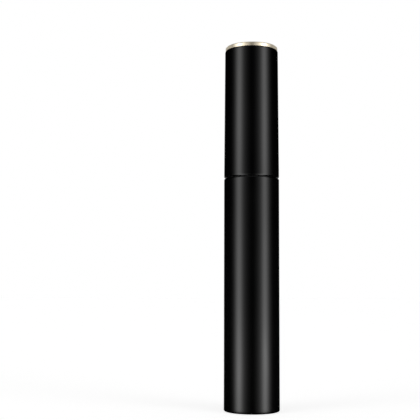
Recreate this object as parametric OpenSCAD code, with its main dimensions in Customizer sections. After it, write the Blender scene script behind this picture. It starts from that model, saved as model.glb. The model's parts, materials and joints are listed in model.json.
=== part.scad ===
// Mascara tube: a lacquered sleeve with an inner bottle and a wiper, and a screw closure that
// carries the stem and the brush. Millimetres, +Z up, origin at the centre of the base.

/* [Outside] */
// Outer diameter of the tube, and of the cap at its mouth
body_d = 18.4; // [16:0.1:24]
// Height of the lower tube, from the base to the seam
tube_h = 76.6; // [62:0.2:110]
// Height of the cap's shell, from its mouth to the end plate
cap_h = 43.2; // [34:0.2:60]
// How much narrower the cap's shell is at its end than at its mouth
cap_draft = 0.54; // [0:0.02:1]
// Gap in the seam between the tube and the cap
seam_gap = 0.3; // [0.1:0.05:0.5]
// Rounding of the two outer edges at the seam
seam_r = 0.45; // [0.1:0.05:0.6]
// Rounding of the tube's bottom edge
base_r = 0.45; // [0.1:0.05:0.6]
// Rounding of the cap shell's end, under the plate
rim_r = 0.4; // [0.1:0.05:0.6]

/* [Sleeve and base plug] */
// Wall of the outer sleeve
sleeve_wall = 0.8; // [0.6:0.05:1]
// Thickness of the base plug's floor
plug_t = 1.4; // [0.8:0.1:2.5]
// Height of the rim on the base plug that centres the bottle
plug_rim_h = 3; // [1:0.1:8]
// Chamfer round the base plug's lower edge
plug_chamfer = 0.15; // [0.05:0.05:0.4]

/* [Bottle] */
// Free space between the bottle and the sleeve
vial_gap = 0.6; // [0.6:0.05:1]
// Wall of the bottle
vial_wall = 1.2; // [0.8:0.05:1.6]
// Floor of the bottle
vial_floor = 1.2; // [0.8:0.1:2]
// Thickness of the bottle's shoulder
shoulder_t = 1.5; // [1:0.1:3]
// Height of the cone inside the shoulder
shoulder_cone_h = 3; // [1.5:0.1:6]
// Rounding inside the bottle, where its wall meets its floor
vial_fillet = 1; // [0.3:0.1:2]
// Wall of the neck
neck_wall = 1.1; // [0.9:0.05:1.3]
// Height of the neck above the sleeve's end
neck_h = 13.8; // [12:0.1:17]

/* [Shoulder collar] */
// Depth of the collar inside the sleeve's end
collar_h = 3.2; // [1.5:0.1:6]
// Height of the spigot on the collar that centres the cap
spigot_h = 1.6; // [0.6:0.1:1.8]
// Chamfer round the spigot's top
spigot_chamfer = 0.3; // [0.1:0.05:0.4]

/* [Screw thread] */
// Number of ridges on the neck, and of lugs in the inner cap
thread_starts = 2; // [1, 2]
// Height that one turn of a ridge climbs
thread_lead = 7.2; // [4:0.1:8]
// Part of a turn that a ridge covers, in degrees
thread_arc = 140; // [100:1:145]
// How far a ridge stands out of the neck
thread_depth = 0.7; // [0.5:0.05:0.9]
// Width of a ridge at the neck
thread_root_w = 1.4; // [1:0.05:1.8]
// Width of a ridge at its crest
thread_crest_w = 0.7; // [0.4:0.05:0.9]
// Height of the ridges' lowest end above the collar
thread_lift = 4.6; // [4:0.1:6]
// Part of a turn that a lug covers, in degrees
lug_arc = 14; // [8:1:18]
// Height of a lug
lug_h = 1; // [0.6:0.1:1.4]

/* [Wiper and seal] */
// Wall of the wiper
wiper_wall = 0.7; // [0.5:0.05:0.8]
// Wall of the wiper's lip, at the orifice
lip_wall = 0.5; // [0.3:0.05:0.7]
// Thickness of the wiper's flange, on top of the neck
wiper_flange_t = 0.6; // [0.4:0.05:1]
// Length of the wiper's straight part
wiper_tube_h = 6; // [3:0.1:8]
// Length of the wiper's cone
wiper_cone_h = 4.5; // [3:0.1:6]
// Thickness of the seal washer
washer_t = 1; // [0.6:0.1:1.6]

/* [Cap] */
// Wall of the cap's shell at its mouth
shell_wall = 1; // [0.8:0.05:1.2]
// Width of the ledge in the shell that the inner cap seats on
ledge_w = 0.7; // [0.4:0.05:1]
// Chamfer inside the shell's mouth
mouth_chamfer = 0.3; // [0.1:0.05:0.4]
// Wall of the inner cap's skirt
inner_wall = 0.8; // [0.6:0.05:1]
// Depth of the ribs that hold the inner cap in the shell
rib_w = 0.8; // [0.4:0.05:1]
// Number of those ribs
inner_ribs = 8; // [4:1:12]
// Part of a turn that a rib covers, in degrees
rib_arc = 6; // [3:1:15]
// Thickness of the inner cap's ceiling
ceiling_t = 1.2; // [0.8:0.1:2]
// Thickness of the bead that keeps the seal washer in the inner cap
bead_h = 0.3; // [0.2:0.05:0.35]
// Wall of the inner cap's stem socket
socket_wall = 1.3; // [0.8:0.1:2]
// Depth of the stem socket above the ceiling
socket_h = 9; // [4:0.1:14]

/* [End plate] */
// Thickness of the end plate
plate_t = 1.3; // [0.6:0.05:2]
// How far the end plate's edge lies inside the shell's edge
plate_inset = 0.15; // [0:0.05:0.5]
// Bevel on the end plate's outer edge
plate_bevel = 0.25; // [0.1:0.05:0.4]
// Width of the end plate's flat rim
plate_rim_w = 0.9; // [0.5:0.1:2]
// Depth of the dished face inside the rim
plate_dish = 0.15; // [0.05:0.05:0.3]
// Diameter of the locating boss under the end plate
boss_d = 6; // [3:0.1:9]
// Depth of the locating boss
boss_h = 0.8; // [0.4:0.1:0.9]
// Thickness of the end plug's face
end_plug_t = 1.8; // [1.4:0.1:3]
// Length of the end plug's skirt
end_skirt_h = 4; // [2:0.1:8]
// Wall of the end plug's skirt
end_skirt_wall = 0.8; // [0.5:0.05:1.5]

/* [Wand] */
// Diameter of the stem
stem_d = 3.4; // [3:0.1:4.2]
// Diameter of the stem where it meets the brush
stem_end_d = 3.1; // [2.8:0.1:3.4]
// Length of the taper at the stem's lower end
stem_taper_h = 2.6; // [1:0.1:5]
// Diameter of the stem's head, in the socket
stem_head_d = 4.4; // [4:0.1:5]
// Diameter of the collar under the stem's head
stem_collar_d = 6; // [5.2:0.1:6.4]

/* [Brush] */
// Length of the brush below the stem
brush_len = 26.1; // [20:0.1:30]
// Depth of a waist between two lobes of bristles
waist_cut = 1.15; // [0:0.05:1.5]
// Rows of bristles
bristle_rows = 17; // [11:1:23]
// Rows from one waist to the next
lobe_rows = 6; // [4:1:8]
// Row of the first waist, counted from the tip
first_waist = 5; // [3:1:7]
// Distance from the tip to the first row
first_row_z = 2.2; // [1.8:0.1:3]
// Distance from the last row to the stem
last_row_gap = 0.9; // [0.6:0.1:2]
// Thickness of a row at the core
row_root_w = 0.8; // [0.5:0.05:0.95]
// Thickness of a row at its edge
row_edge_w = 0.3; // [0.2:0.05:0.45]
// Diameter of the core's rod
core_d = 1.4; // [1:0.1:1.8]
// Wall of the soft sleeve that the bristles stand on
bristle_sleeve_t = 0.22; // [0.15:0.01:0.3]
// Diameter of the cone at the tip
tip_d = 1.9; // [1.8:0.1:2.6]
// Length of the cone at the tip
tip_h = 1.4; // [1:0.1:1.7]
// Diameter of the core's shank, in the stem
shank_d = 2; // [1.6:0.1:2.1]
// Length of the core's shank, in the stem
shank_h = 6; // [3:0.1:12]

/* [Fits] */
// Radial clearance between pieces that slide past each other
slide_gap = 0.2; // [0.1:0.02:0.22]
// Radial clearance of a piece that only locates another
locate_gap = 0.05; // [0.02:0.01:0.1]
// Clearance between the collar's spigot and the inner cap's skirt above it
skirt_gap = 0.8; // [0.3:0.1:1.2]
// Clearance between the brush's tip and the bottle's floor
tip_gap = 1.9; // [0.5:0.1:6]
// Radial clearance between the longest bristles and the neck's bore
brush_gap = 1.05; // [0.3:0.05:1.5]
// Radial clearance between the wiper's orifice and the stem
orifice_gap = 0.15; // [0.05:0.01:0.25]
// Radial clearance between the thread's crests and the inner cap
crest_gap = 0.3; // [0.2:0.02:0.35]
// Clearance between a lug and the ridge above it
lug_gap = 0.1; // [0.05:0.01:0.2]
// Radial squeeze of a press fit
press = 0.03; // [0:0.01:0.05]

/* [Hidden] */
$fn = 96;
round_fn = 32;  // facets of a small rounding
over = 0.1;     // how far a cut runs past a face
edge_flat = 0.1; // least flat that a rounding leaves on a wall's end

// Colours
lacquer = [0.04, 0.04, 0.045];
moulded = [0.09, 0.09, 0.1];
gold = [0.86, 0.75, 0.55];
clear_pp = [0.72, 0.72, 0.7];
elastomer = [0.8, 0.78, 0.74];

// Radii, from the outside in
body_r = body_d / 2;
sleeve_bore_r = body_r - sleeve_wall;
vial_r = sleeve_bore_r - vial_gap;
vial_bore_r = vial_r - vial_wall;
shell_bore_r = body_r - shell_wall;
ledge_r = shell_bore_r - ledge_w;
inner_r = shell_bore_r - rib_w;
inner_bore_r = inner_r - inner_wall;
thread_r = inner_bore_r - crest_gap;
collar_bore_r = thread_r + locate_gap;
neck_r = thread_r - thread_depth;
neck_bore_r = neck_r - neck_wall;
spigot_r = shell_bore_r - slide_gap;
shell_end_r = body_r - cap_draft / 2;
plate_r = shell_end_r - plate_inset;
lug_r = neck_r + slide_gap;
washer_r = inner_bore_r - locate_gap;
washer_bore_r = stem_collar_d / 2 + orifice_gap;
wiper_bore_r = neck_bore_r - wiper_wall;
orifice_r = stem_d / 2 + orifice_gap;
brush_r = neck_bore_r - brush_gap;
bristle_sleeve_r = core_d / 2 + bristle_sleeve_t;

// Roundings, kept within their walls
base_round = min(base_r, sleeve_wall - edge_flat);
seam_round = min(seam_r, sleeve_wall - edge_flat, shell_wall - mouth_chamfer - edge_flat);

// Heights above the base
collar_z = tube_h - collar_h;
spigot_z = tube_h + spigot_h;
neck_z = tube_h + neck_h;
seal_z = neck_z + wiper_flange_t;
ceiling_z = seal_z + washer_t;
ledge_z = ceiling_z + ceiling_t;
mouth_z = tube_h + seam_gap;
skirt_z = spigot_z + skirt_gap;
cap_z = mouth_z + cap_h;
thread_z = spigot_z + thread_lift;
lug_z = thread_z - thread_root_w / 2 - lug_gap - lug_h;
vial_floor_z = plug_t + vial_floor;
tip_z = vial_floor_z + tip_gap;
stem_z = tip_z + brush_len;

// Thread: a ridge starts a little before the lug under it, so that the lug is covered at rest
ridge_lead_in = 12;
ridge_fade = 12;
ridge_steps = 28;
ridge_sink = 0.3;

// Distance from one row of bristles to the next, along the core
row_pitch = (brush_len - first_row_z - last_row_gap) / (bristle_rows - 1);

// Revolves an outline drawn as [radius, height] round the axis
module turned() {
    rotate_extrude() children();
}

// What rounds a convex corner of an outline to radius r: out gives the directions that leave it
module corner_cut(corner, r, out) {
    translate([corner.x - out.x * r, corner.y - out.y * r])
        difference() {
            translate([out.x > 0 ? 0 : -r - over, out.y > 0 ? 0 : -r - over])
                square(r + over);
            circle(r, $fn = round_fn);
        }
}

// A bar from radius r0 to r1 and height z0 to z1 in an outline
module band(r0, r1, z0, z1) {
    translate([r0, z0]) square([r1 - r0, z1 - z0]);
}

module tube_sleeve() {
    color(lacquer) turned()
        difference() {
            band(sleeve_bore_r, body_r, 0, tube_h);
            corner_cut([body_r, 0], base_round, [1, -1]);
            corner_cut([body_r, tube_h], seam_round, [1, 1]);
        }
}

// Closes the sleeve's lower end and centres the bottle on it
module base_plug() {
    plug_r = sleeve_bore_r + press;
    rim_z = plug_t + plug_rim_h;
    rim_bore_r = vial_r + locate_gap;
    color(moulded) turned()
        polygon([
            [0, 0], [plug_r - plug_chamfer, 0], [plug_r, plug_chamfer], [plug_r, rim_z],
            [rim_bore_r, rim_z], [rim_bore_r, plug_t], [0, plug_t]
        ]);
}

// Height of a ridge's centre line at an angle from the middle of its lug
function ridge_z(a) = thread_z + thread_lead * (a + ridge_lead_in) / 360;

// How much of its depth a ridge has at an angle, from 0 at its ends to 1
function ridge_full(a) =
    min(1, (a + ridge_lead_in) / ridge_fade, (thread_arc - ridge_lead_in - a) / ridge_fade);

// The four corners of a ridge's section at an angle, root first
function ridge_section(a) =
    let (
        root_r = neck_r - ridge_sink,
        crest_r = root_r + (ridge_sink + thread_depth) * max(0.4, ridge_full(a)),
        z = ridge_z(a)
    ) [
        for (p = [[root_r, -thread_root_w / 2], [crest_r, -thread_crest_w / 2],
                  [crest_r, thread_crest_w / 2], [root_r, thread_root_w / 2]])
            [p.x * cos(a), p.x * sin(a), z + p.y]
    ];

// One helical ridge, with its root sunk in the neck's wall
module ridge() {
    first = -ridge_lead_in;
    points = [
        for (i = [0 : ridge_steps]) each ridge_section(first + thread_arc * i / ridge_steps)
    ];
    sides = [
        for (i = [0 : ridge_steps - 1], k = [0 : 3])
            let (a = 4 * i + k, b = 4 * i + (k + 1) % 4)
                each [[a, b + 4, a + 4], [a, b, b + 4]]
    ];
    last = 4 * ridge_steps;
    ends = [[3, 2, 1, 0], [last, last + 1, last + 2, last + 3]];
    polyhedron(points, concat(sides, ends), convexity = 4);
}

// The bottle that holds the mascara, with its threaded neck
module vial() {
    cone_top_z = collar_z - shoulder_t;
    color(clear_pp) {
        turned()
            difference() {
                union() {
                    band(0, vial_r, plug_t, collar_z);
                    band(0, thread_r, plug_t, spigot_z);
                    band(0, neck_r, plug_t, neck_z);
                }
                difference() {
                    polygon([
                        [0, vial_floor_z], [vial_bore_r, vial_floor_z],
                        [vial_bore_r, cone_top_z - shoulder_cone_h], [neck_bore_r, cone_top_z],
                        [neck_bore_r, neck_z + over], [0, neck_z + over]
                    ]);
                    corner_cut([vial_bore_r, vial_floor_z], vial_fillet, [1, -1]);
                }
            }
        for (i = [0 : thread_starts - 1])
            rotate(i * 360 / thread_starts) ridge();
    }
}

// Fills the sleeve's upper end round the bottle's neck, and centres the cap on its spigot
module shoulder_collar() {
    color(moulded) turned()
        polygon([
            [collar_bore_r, collar_z], [sleeve_bore_r + press, collar_z],
            [sleeve_bore_r + press, tube_h], [spigot_r, tube_h],
            [spigot_r, spigot_z - spigot_chamfer], [spigot_r - spigot_chamfer, spigot_z],
            [collar_bore_r, spigot_z]
        ]);
}

// Soft insert in the neck that strips the stem and the brush as they come out
module wiper() {
    tube_z = seal_z - wiper_flange_t - wiper_tube_h;
    lip_z = tube_z - wiper_cone_h;
    fit_r = neck_bore_r + press;
    color(elastomer) turned()
        polygon([
            [wiper_bore_r, seal_z], [neck_r, seal_z], [neck_r, neck_z], [fit_r, neck_z],
            [fit_r, tube_z], [orifice_r + lip_wall, lip_z], [orifice_r, lip_z],
            [wiper_bore_r, tube_z]
        ]);
}

// Ring between the neck and the inner cap's ceiling, loose in the cap so that it needn't turn
module seal_washer() {
    color(elastomer) turned() band(washer_bore_r, washer_r, seal_z, ceiling_z);
}

module cap_shell() {
    color(lacquer) turned()
        difference() {
            polygon([
                [shell_bore_r, mouth_z], [body_r, mouth_z], [shell_end_r, cap_z],
                [ledge_r, cap_z], [ledge_r, ledge_z], [shell_bore_r, ledge_z]
            ]);
            corner_cut([body_r, mouth_z], seam_round, [1, -1]);
            corner_cut([shell_end_r, cap_z], rim_r, [1, 1]);
            polygon([
                [shell_bore_r - over, mouth_z - over],
                [shell_bore_r - over, mouth_z + mouth_chamfer + over],
                [shell_bore_r + mouth_chamfer + over, mouth_z - over]
            ]);
        }
}

// Carries the lugs that run under the neck's ridges, the seal washer and the stem
module inner_cap() {
    socket_r = stem_head_d / 2 - press;
    bead_r = (thread_r + neck_r) / 2;
    bead_z = seal_z - bead_h;
    color(moulded) {
        turned() {
            band(inner_bore_r, inner_r, skirt_z, ledge_z);
            band(bead_r, inner_r, bead_z - locate_gap, seal_z - locate_gap);
            band(socket_r, shell_bore_r - locate_gap, ceiling_z, ledge_z);
            band(socket_r, socket_r + socket_wall, ceiling_z, ledge_z + socket_h);
        }
        for (i = [0 : inner_ribs - 1])
            rotate(i * 360 / inner_ribs - rib_arc / 2)
                rotate_extrude(angle = rib_arc)
                    band(inner_bore_r + inner_wall / 2, shell_bore_r + press,
                         skirt_z, ceiling_z + ceiling_t / 2);
        for (i = [0 : thread_starts - 1])
            rotate(i * 360 / thread_starts - lug_arc / 2)
                rotate_extrude(angle = lug_arc)
                    band(lug_r, inner_bore_r + inner_wall / 2, lug_z, lug_z + lug_h);
    }
}

// Closes the shell's far end and takes the plate's boss
module end_plug() {
    plug_r = ledge_r + press;
    face_z = cap_z - end_plug_t;
    pocket_r = boss_d / 2 + locate_gap;
    pocket_z = cap_z - boss_h - locate_gap;
    color(moulded) turned()
        difference() {
            band(0, plug_r, face_z - end_skirt_h, cap_z);
            band(-over, plug_r - end_skirt_wall, face_z - end_skirt_h - over, face_z);
            band(-over, pocket_r, pocket_z, cap_z + over);
        }
}

// Metal plate on the cap's end
module end_plate() {
    top_z = cap_z + plate_t;
    dish_r = plate_r - plate_bevel - plate_rim_w;
    color(gold) turned()
        polygon([
            [0, cap_z - boss_h], [boss_d / 2, cap_z - boss_h], [boss_d / 2, cap_z],
            [plate_r, cap_z], [plate_r, top_z - plate_bevel], [plate_r - plate_bevel, top_z],
            [dish_r, top_z], [dish_r - plate_dish, top_z - plate_dish], [0, top_z - plate_dish]
        ]);
}

// Rod that reaches from the socket down to the brush
module wand_stem() {
    head_z = ledge_z + socket_h;
    stem_collar_t = washer_t - slide_gap;
    hole_r = shank_d / 2 - press;
    color(moulded) turned()
        difference() {
            union() {
                band(0, stem_head_d / 2, ceiling_z, head_z);
                band(0, stem_collar_d / 2, ceiling_z - stem_collar_t, ceiling_z);
                band(0, stem_d / 2, stem_z + stem_taper_h, ceiling_z);
                polygon([
                    [0, stem_z], [stem_end_d / 2, stem_z], [stem_d / 2, stem_z + stem_taper_h],
                    [0, stem_z + stem_taper_h]
                ]);
            }
            band(-over, hole_r, stem_z - over, stem_z + shank_h);
        }
}

// Stiff core of the brush: a shank in the stem, a rod and a blunt cone at the tip
module brush_core() {
    cone_z = tip_z + tip_h;
    blunt_r = tip_d / 6;
    color(moulded) turned()
        difference() {
            polygon([
                [0, tip_z], [blunt_r, tip_z], [tip_d / 2, cone_z], [core_d / 2, cone_z],
                [core_d / 2, stem_z], [shank_d / 2, stem_z], [shank_d / 2, stem_z + shank_h],
                [0, stem_z + shank_h]
            ]);
            corner_cut([blunt_r, tip_z], blunt_r / 2, [1, -1]);
        }
}

// Radius over the bristles at a row: lobes between waists
function row_r(i) = brush_r - waist_cut * (1 + cos(360 * (i - first_waist) / lobe_rows)) / 2;

// Soft bristles, taken together as one sleeve with a fin for each row
module brush_bristles() {
    sleeve_z0 = tip_z + tip_h;
    color(moulded) turned() {
        band(core_d / 2 - press, bristle_sleeve_r, sleeve_z0, stem_z);
        for (i = [0 : bristle_rows - 1])
            let (z = tip_z + first_row_z + i * row_pitch, r = row_r(i))
                polygon([
                    [core_d / 2, z - row_root_w / 2], [r, z - row_edge_w / 2],
                    [r, z + row_edge_w / 2], [core_d / 2, z + row_root_w / 2]
                ]);
    }
}

tube_sleeve();
base_plug();
vial();
shoulder_collar();
wiper();
seal_washer();
cap_shell();
inner_cap();
end_plug();
end_plate();
wand_stem();
brush_core();
brush_bristles();
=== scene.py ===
import json
import math

import bpy
import bmesh
from mathutils import Matrix, Vector


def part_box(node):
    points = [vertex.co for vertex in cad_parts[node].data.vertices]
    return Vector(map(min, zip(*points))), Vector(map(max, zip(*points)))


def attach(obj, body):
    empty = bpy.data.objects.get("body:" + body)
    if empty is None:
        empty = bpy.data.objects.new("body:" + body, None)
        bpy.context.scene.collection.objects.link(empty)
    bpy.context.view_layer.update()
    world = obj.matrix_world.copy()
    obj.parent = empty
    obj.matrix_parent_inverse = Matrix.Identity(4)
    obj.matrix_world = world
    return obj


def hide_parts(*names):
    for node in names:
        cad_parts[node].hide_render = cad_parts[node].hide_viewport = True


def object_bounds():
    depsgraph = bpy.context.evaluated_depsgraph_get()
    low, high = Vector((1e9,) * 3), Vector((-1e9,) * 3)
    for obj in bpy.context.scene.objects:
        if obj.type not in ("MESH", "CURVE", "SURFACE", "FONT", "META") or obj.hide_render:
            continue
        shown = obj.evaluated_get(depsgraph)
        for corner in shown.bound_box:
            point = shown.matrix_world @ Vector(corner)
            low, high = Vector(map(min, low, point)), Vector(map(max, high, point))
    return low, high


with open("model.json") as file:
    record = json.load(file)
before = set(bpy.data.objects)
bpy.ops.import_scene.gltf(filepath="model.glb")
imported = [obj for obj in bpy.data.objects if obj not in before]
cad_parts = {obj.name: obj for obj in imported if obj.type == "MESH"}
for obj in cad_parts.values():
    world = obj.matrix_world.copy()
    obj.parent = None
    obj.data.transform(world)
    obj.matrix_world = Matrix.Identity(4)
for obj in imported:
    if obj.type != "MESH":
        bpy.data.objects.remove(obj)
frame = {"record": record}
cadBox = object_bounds()

# Sizes in this file are millimetres and degrees unless a note says otherwise; meshes are metres.
mm = 0.001
white = (1.0, 1.0, 1.0, 1.0)
creaseAngle = 32.0
pressFit = 0.03  # by how much a pressed-in solid overlaps what holds it; the visible piece doesn't

# how far edges are rounded; fine is the least that still catches a highlight
fine = 0.02
sharp = 0.05
soft = 0.1
full = 0.15


def addNode(tree, kind, inputs=None, **settings):
    node = tree.nodes.new(kind)
    for key, value in settings.items():
        setattr(node, key, value)
    plugAll(tree, node, inputs or {})
    return node


def plugAll(tree, node, inputs):
    for key, value in inputs.items():
        plug(tree, value, node.inputs[key])


def plug(tree, value, socket):
    if isinstance(value, bpy.types.NodeSocket):
        tree.links.new(value, socket)
    else:
        socket.default_value = value


def calc(tree, operation, first, second=0.0, third=0.0):
    inputs = {0: first, 1: second, 2: third}
    return addNode(tree, "ShaderNodeMath", inputs, operation=operation).outputs[0]


def inverted(tree, value):
    return calc(tree, "SUBTRACT", 1.0, value)


def combine(tree, x=0.0, y=0.0, z=0.0):
    return addNode(tree, "ShaderNodeCombineXYZ", {0: x, 1: y, 2: z}).outputs[0]


def vectorCalc(tree, operation, first, second=(0, 0, 0), output=0):
    node = addNode(tree, "ShaderNodeVectorMath", {0: first, 1: second}, operation=operation)
    return node.outputs[output]


def remap(tree, value, fromLow, fromHigh, toLow=0.0, toHigh=1.0, smooth=False):
    inputs = {0: value, 1: fromLow, 2: fromHigh, 3: toLow, 4: toHigh}
    kind = "SMOOTHSTEP" if smooth else "LINEAR"
    return addNode(tree, "ShaderNodeMapRange", inputs, interpolation_type=kind).outputs[0]


cameraSet = {
    "place": (-13.93, -292.0, 40.3),
    "pitch": 5.06,  # degrees above level
    "roll": 0.2,
    "lens": 75.0,
    "nearest": 10.0,
}

floorSet = {
    "reach": 6000.0,
    "drop": 0.02,  # just under the base, so that the two faces don't flicker
    "colour": (0.9, 0.9, 0.9, 1.0),
    "roughness": 0.9,
    "glow": 0.78,  # the floor is a light table, so that the contact shadow stays faint
    # painted shade: a dark patch that only reflections see round the base, in place of the shade there
    "paintedShadeReach": (10.5, 17.0),  # the dark patch ends between these radii
    "paintedShadeColour": (0.004, 0.004, 0.004, 1.0),
}

studioSet = {
    "sides": (-56.5, 53.8),  # where the two tall strips stand, in degrees from the front
    "sideLight": 7.5,
    "sideSpread": 0.125,  # how wide a strip is
    "sideFade": 3.5,  # how fast it fades
    "backLight": 0.4,
    "backWidth": 25.0,
    "overheadLight": 0.35,
    "overheadFrom": 48.0,
    "overheadFull": 62.0,
    # how bright the side strips are at a turn: cosine of the angle from the front, and share
    "fronts": ((-0.35, 0.0), (0.3, 0.74), (0.55, 0.74), (0.82, 0.78), (0.93, 1.0), (0.98, 0.9), (1.0, 0.2)),
    # how bright a strip is at a height: sine of the angle above level, and share
    "heights": ((-0.95, 0.32), (-0.6, 0.92), (-0.3, 0.92), (-0.15, 0.4), (-0.127, 0.43), (-0.11, 0.7),
                (-0.082, 1.0), (-0.06, 0.53), (-0.015, 0.43), (0.03, 0.5), (0.1, 0.35), (0.13, 0.35),
                (0.16, 0.5), (0.27, 0.43), (0.5, 0.25), (0.8, 0.0)),
}


def makeCamera():
    camera = bpy.data.objects.new("camera", bpy.data.cameras.new("camera"))
    camera.data.lens = cameraSet["lens"]
    camera.data.clip_start = cameraSet["nearest"] * mm
    camera.location = Vector(cameraSet["place"]) * mm
    level = Matrix.Rotation(math.radians(90 + cameraSet["pitch"]), 4, "X")
    turned = level @ Matrix.Rotation(math.radians(cameraSet["roll"]), 4, "Z")
    camera.rotation_euler = turned.to_euler()
    bpy.context.scene.collection.objects.link(camera)
    bpy.context.scene.camera = camera


def makeFloor():
    half = floorSet["reach"] / 2 * mm
    mesh = bpy.data.meshes.new("floor")
    z = -floorSet["drop"] * mm
    corners = [(-half, -half, z), (half, -half, z), (half, half, z), (-half, half, z)]
    mesh.from_pydata(corners, [], [(0, 1, 2, 3)])
    floor = bpy.data.objects.new("floor", mesh)
    bpy.context.scene.collection.objects.link(floor)
    material, tree, shader = newMaterial("paleFloor")
    plugAll(tree, shader, {"Base Color": floorSet["colour"], "Roughness": floorSet["roughness"],
                           "Emission Color": white, "Emission Strength": floorSet["glow"]})
    # in reflections the floor is clear, but for a dark patch close round the base: a painted shade, standing
    # in for the contact shade that the lacquer mirrors there
    paintedShade = addNode(tree, "ShaderNodeBsdfDiffuse", {"Color": floorSet["paintedShadeColour"]})
    clear = addNode(tree, "ShaderNodeBsdfTransparent")
    away = radiusOut(tree, *floorSet["paintedShadeReach"])
    reflectedShade = addNode(tree, "ShaderNodeMixShader", {0: away, 1: paintedShade.outputs[0], 2: clear.outputs[0]})
    isGlossy = addNode(tree, "ShaderNodeLightPath").outputs["Is Glossy Ray"]
    inputs = {0: isGlossy, 1: shader.outputs[0], 2: reflectedShade.outputs[0]}
    mix = addNode(tree, "ShaderNodeMixShader", inputs)
    plug(tree, mix.outputs[0], tree.nodes["Material Output"].inputs["Surface"])
    mesh.materials.append(material)


def facing(tree, across, azimuth):
    # cosine of the angle to an azimuth; the front is at 0 and the back at 180
    a = math.radians(azimuth)
    return vectorCalc(tree, "DOT_PRODUCT", across, (math.sin(a), -math.cos(a), 0), output=1)


def strip(tree, across, azimuth):
    away = inverted(tree, facing(tree, across, azimuth))
    spread = calc(tree, "MULTIPLY_ADD", away, 1 / studioSet["sideSpread"], 1.0)
    return calc(tree, "POWER", spread, -studioSet["sideFade"])


def shares(tree, value, stops):
    # value runs from -1 to 1, and each stop gives a value and its share
    ramp = addNode(tree, "ShaderNodeValToRGB", {0: calc(tree, "MULTIPLY_ADD", value, 0.5, 0.5)})
    elements = ramp.color_ramp.elements
    for n, (at, share) in enumerate(stops):
        element = elements[n] if n < 2 else elements.new(0.5 + at / 2)
        element.position = 0.5 + at / 2
        element.color = (share, share, share, 1)
    return ramp.outputs["Color"]


def makeStudio():
    scene = bpy.context.scene
    scene.view_settings.view_transform = "Standard"
    scene.world = bpy.data.worlds.new("studio")
    scene.world.use_nodes = True
    tree = scene.world.node_tree
    tree.nodes.clear()
    direction = addNode(tree, "ShaderNodeTexCoord").outputs["Generated"]
    height = addNode(tree, "ShaderNodeSeparateXYZ", {0: direction}).outputs["Z"]
    across = vectorCalc(tree, "NORMALIZE", vectorCalc(tree, "MULTIPLY", direction, (1, 1, 0)))
    strips = 0.0
    for azimuth in studioSet["sides"]:
        strips = calc(tree, "MULTIPLY_ADD", strip(tree, across, azimuth), studioSet["sideLight"], strips)
    strips = calc(tree, "MULTIPLY", strips, shares(tree, facing(tree, across, 0), studioSet["fronts"]))
    backEdge = math.cos(math.radians(studioSet["backWidth"]))
    back = remap(tree, facing(tree, across, 180), backEdge, 1, smooth=True)
    strips = calc(tree, "MULTIPLY_ADD", back, studioSet["backLight"], strips)
    strips = calc(tree, "MULTIPLY", strips, shares(tree, height, studioSet["heights"]))
    low, high = (math.sin(math.radians(studioSet[k])) for k in ("overheadFrom", "overheadFull"))
    overhead = remap(tree, height, low, high, smooth=True)
    total = calc(tree, "MULTIPLY_ADD", overhead, studioSet["overheadLight"], strips)
    lit = addNode(tree, "ShaderNodeBackground", {"Color": white, "Strength": total})
    seen = addNode(tree, "ShaderNodeBackground", {"Color": white, "Strength": 1.0})
    isCamera = addNode(tree, "ShaderNodeLightPath").outputs["Is Camera Ray"]
    mix = addNode(tree, "ShaderNodeMixShader", {0: isCamera, 1: lit.outputs[0], 2: seen.outputs[0]})
    addNode(tree, "ShaderNodeOutputWorld", {"Surface": mix.outputs[0]})


plateLightSet = {
    "azimuths": (-50.0, 50.0, -140.0, 140.0),
    "distance": 450.0,
    "height": 150.0,  # above the plate
    "size": (780.0, 460.0),
    "power": 0.5,  # watts
}


def lightPlate(plate):
    # soft panels that only the metal plate sees, with a dark gap at the front
    group = bpy.data.collections.new("plateOnly")
    group.objects.link(plate)
    target = Vector((0, 0, cadBox[1][2]))
    for azimuth in plateLightSet["azimuths"]:
        a = math.radians(azimuth)
        away = Vector((math.sin(a), -math.cos(a), 0)) * plateLightSet["distance"] * mm
        lamp = bpy.data.objects.new("platePanel", bpy.data.lights.new("platePanel", "AREA"))
        lamp.data.shape = "RECTANGLE"
        lamp.data.size = plateLightSet["size"][0] * mm
        lamp.data.size_y = plateLightSet["size"][1] * mm
        lamp.data.energy = plateLightSet["power"]
        lamp.location = target + away + Vector((0, 0, plateLightSet["height"] * mm))
        lamp.rotation_euler = (target - lamp.location).to_track_quat("-Z", "Y").to_euler()
        lamp.visible_camera = False
        lamp.light_linking.receiver_collection = group
        bpy.context.scene.collection.objects.link(lamp)


def newMaterial(name):
    material = bpy.data.materials.new(name)
    material.use_nodes = True
    tree = material.node_tree
    return material, tree, tree.nodes["Principled BSDF"]


def place(tree):
    return addNode(tree, "ShaderNodeTexCoord").outputs["Object"]


noiseMiddle = 0.5
noiseMost = (0.3, 0.7)  # nearly all of a noise lies between these


def noise(tree, width, detail, stretch=(1, 1, 1)):
    # width is that of one patch
    vector = vectorCalc(tree, "MULTIPLY", place(tree), stretch)
    inputs = {"Vector": vector, "Scale": 1 / (width * mm), "Detail": detail}
    return addNode(tree, "ShaderNodeTexNoise", inputs).outputs[0]


def blend(tree, factor, first, second):
    node = addNode(tree, "ShaderNodeMix", {0: factor}, data_type="RGBA")
    plug(tree, first, node.inputs[6])
    plug(tree, second, node.inputs[7])
    return node.outputs[2]


def bump(tree, height, depth, under=None):
    inputs = {"Height": height, "Distance": depth * mm, "Strength": 1.0}
    if under:
        inputs["Normal"] = under
    return addNode(tree, "ShaderNodeBump", inputs).outputs[0]


def relief(tree, sizes, under=None, stretch=(1, 1, 1)):
    width, detail, depth = sizes
    return bump(tree, noise(tree, width, detail, stretch), depth, under)


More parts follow.
